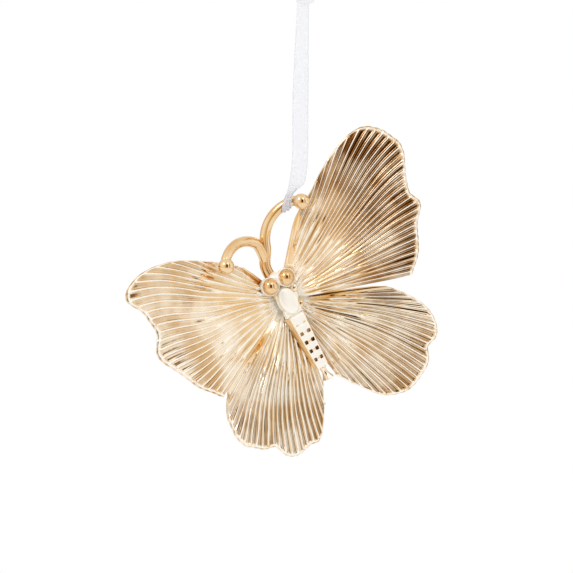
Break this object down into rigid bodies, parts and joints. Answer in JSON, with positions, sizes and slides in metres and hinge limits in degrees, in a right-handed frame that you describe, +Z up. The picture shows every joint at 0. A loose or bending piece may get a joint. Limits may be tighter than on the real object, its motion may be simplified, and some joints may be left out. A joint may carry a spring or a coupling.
{
  "type": "butterfly ornament",
  "caption": "Gold butterfly ornament with four ribbed wings, ball-tipped antennae and a ladder-backed abdomen, hung by one antenna from a loop of sheer white ribbon.",
  "frame": {"origin": "where a hook carries the ribbon loop, just under its knot", "axes": "+Z up along the hanging ribbon, +Y from the butterfly's back to its underside, +X to the viewer's right"},
  "size_m": [0.0993, 0.0461, 0.1591],
  "materials": {
    "gilt_metal": "polished gold plate",
    "organza": "sheer woven"
  },
  "bodies": {
    "hanger": {"ribbon_knot": "organza", "ribbon_tails": "organza"},
    "ribbon": {"ribbon_front_strand": "organza", "ribbon_back_strand": "organza", "ribbon_bight": "organza"},
    "butterfly": {"right_forewing": "gilt_metal", "left_forewing": "gilt_metal", "right_hindwing": "gilt_metal", "left_hindwing": "gilt_metal", "wing_hub": "gilt_metal", "brazing_beads": "gilt_metal", "thorax": "gilt_metal", "waist_band": "gilt_metal", "abdomen": "gilt_metal", "abdomen_rungs": "gilt_metal", "tail_finial": "gilt_metal", "head": "gilt_metal", "right_eye": "gilt_metal", "left_eye": "gilt_metal", "right_antenna": "gilt_metal", "left_antenna": "gilt_metal", "right_antenna_ball": "gilt_metal", "left_antenna_ball": "gilt_metal"}
  },
  "joints": [
    {"name": "ribbon_twist", "type": "hinge", "parent": "hanger", "child": "ribbon", "pos_m": [0, 0, 0], "axis": [0, 0, 1], "range_deg": [-180, 180]},
    {"name": "butterfly_swing", "type": "hinge", "parent": "ribbon", "child": "butterfly", "pos_m": [-0.0042, 0, -0.0638], "axis": [0.8873, -0.016, 0.4609], "range_deg": [-20, 40]}
  ]
}
